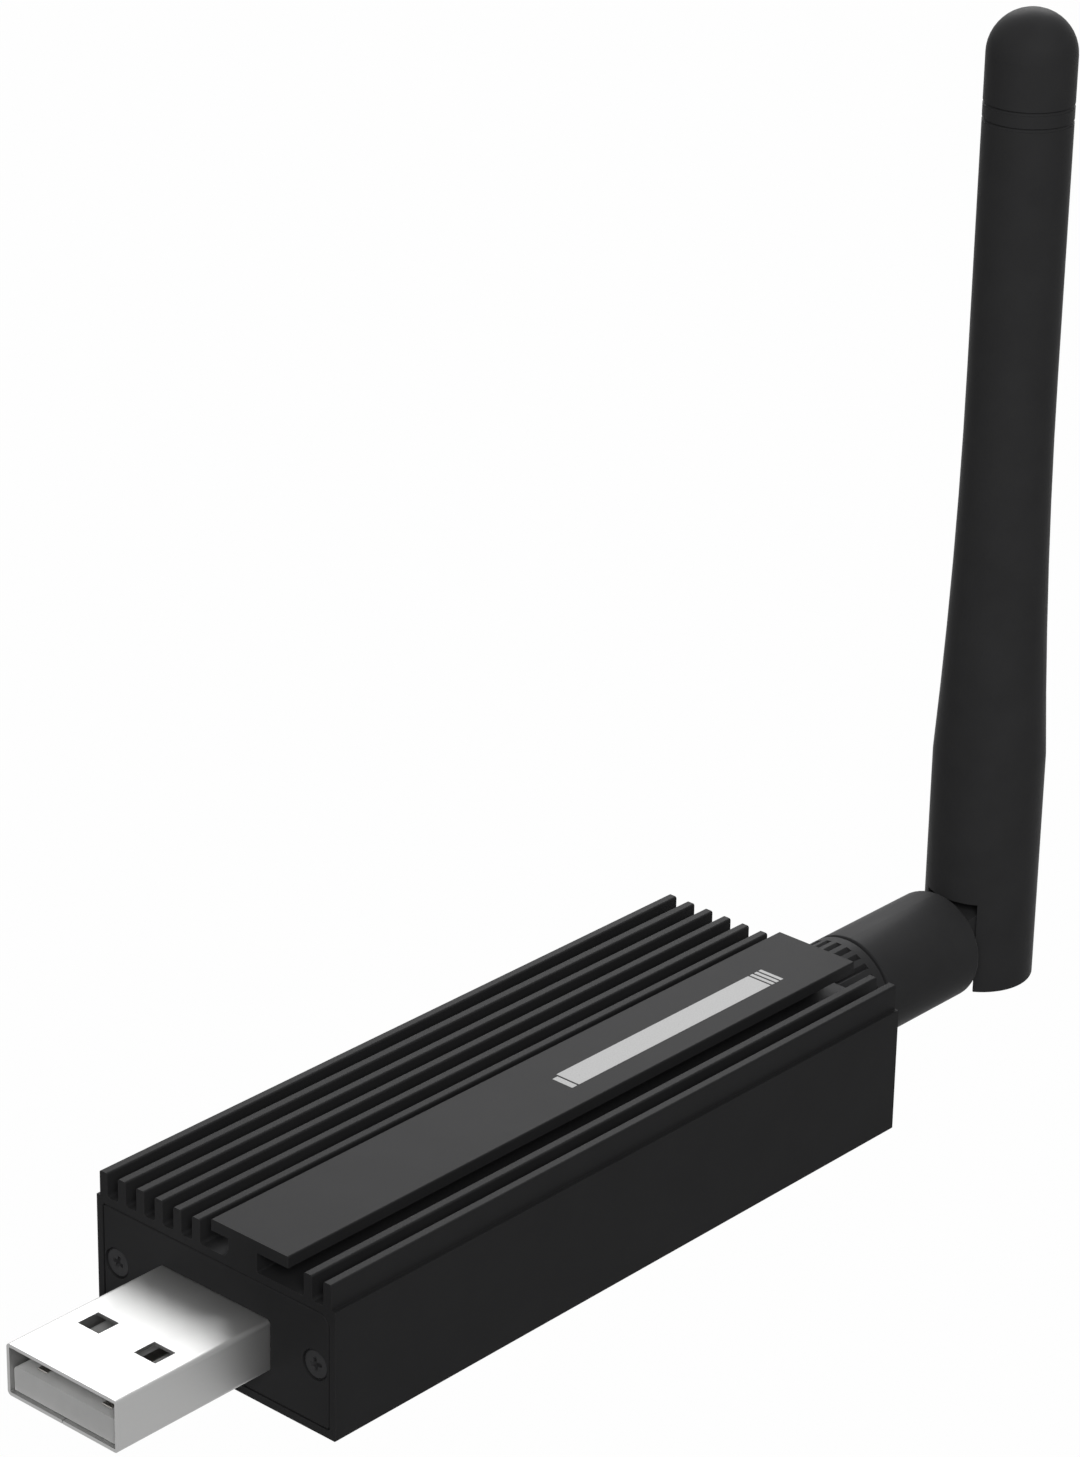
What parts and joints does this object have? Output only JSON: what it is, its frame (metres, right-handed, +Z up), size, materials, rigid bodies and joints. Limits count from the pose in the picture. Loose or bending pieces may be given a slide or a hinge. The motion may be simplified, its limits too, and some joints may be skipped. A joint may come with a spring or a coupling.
{
  "type": "usb radio stick",
  "caption": "USB radio stick for a smart home hub: a finned aluminium case with a USB plug at one end and a short rod aerial that swivels and tilts at the other.",
  "frame": {"origin": "centre of the case's underside", "axes": "+X from the plug to the aerial, +Y the side with six fins, +Z up, away from the underside"},
  "size_m": [0.1166, 0.0258, 0.0892],
  "materials": {
    "case_aluminium": "black anodised, fine bead-blasted satin",
    "black_screw": "black oxide",
    "plug_steel": "bright nickel plated sheet",
    "plug_plastic": "moulded, light grey",
    "contact_plating": "plated spring strip",
    "board": "solder mask on glass epoxy",
    "chip_black": "moulded epoxy",
    "crystal_can": "tinned can",
    "led_blue": "clear, bluish",
    "led_green": "clear, greenish",
    "capacitor_ceramic": "ceramic with tinned ends",
    "switch_plastic": "moulded",
    "gilt_jack": "turned, gold plated",
    "white_insulator": "fluoropolymer",
    "jack_steel": "nickel plated",
    "aerial_plastic": "moulded, fine texture",
    "cable_jacket": "thin coaxial cable jacket",
    "radiator_brass": "plain",
    "plate_print": "screen printed"
  },
  "bodies": {
    "stick": {"housing": "case_aluminium", "front_panel": "case_aluminium", "rear_panel": "case_aluminium", "front_panel_screws": "black_screw", "rear_panel_screws": "black_screw", "usb_shell": "plug_steel", "usb_insulator": "plug_plastic", "usb_contact_1": "contact_plating", "usb_contact_2": "contact_plating", "usb_contact_3": "contact_plating", "usb_contact_4": "contact_plating", "circuit_board": "board", "usb_bridge_chip": "chip_black", "radio_chip": "chip_black", "voltage_regulator": "chip_black", "radio_crystal": "crystal_can", "clock_crystal": "crystal_can", "usb_status_led": "led_blue", "radio_status_led": "led_green", "board_capacitors": "capacitor_ceramic", "board_resistors": "chip_black", "boot_switch_base": "crystal_can", "reset_switch_base": "crystal_can", "jack_body": "gilt_jack", "jack_insulator": "white_insulator", "jack_contact": "contact_plating", "jack_washer": "jack_steel", "jack_nut": "jack_steel", "antenna_coupling_nut": "gilt_jack", "antenna_grip_collar": "aerial_plastic", "antenna_plug_body": "gilt_jack", "antenna_plug_insulator": "white_insulator", "antenna_plug_pin": "contact_plating"},
    "swivel": {"antenna_sleeve": "aerial_plastic", "sleeve_cable": "cable_jacket"},
    "whip": {"antenna_whip": "aerial_plastic", "whip_cable": "cable_jacket", "radiator_tube": "radiator_brass", "radiator_wire": "radiator_brass"},
    "boot_button": {"boot_switch_plunger": "switch_plastic"},
    "reset_button": {"reset_switch_plunger": "switch_plastic"}
  },
  "joints": [
    {"name": "antenna_swivel", "type": "hinge", "parent": "stick", "child": "swivel", "pos_m": [0.04952, 0, 0.00502], "axis": [1, 0, 0], "continuous": true},
    {"name": "antenna_tilt", "type": "hinge", "parent": "swivel", "child": "whip", "pos_m": [0.06223, 0, 0.00502], "axis": [0, 1, 0], "range_deg": [0, 90]},
    {"name": "boot_press", "type": "slide", "parent": "stick", "child": "boot_button", "axis": [0, 0, -1], "range_m": [0, 0.00025], "stiffness_N_per_m": 6000},
    {"name": "reset_press", "type": "slide", "parent": "stick", "child": "reset_button", "axis": [0, 0, -1], "range_m": [0, 0.00025], "stiffness_N_per_m": 6000}
  ]
}
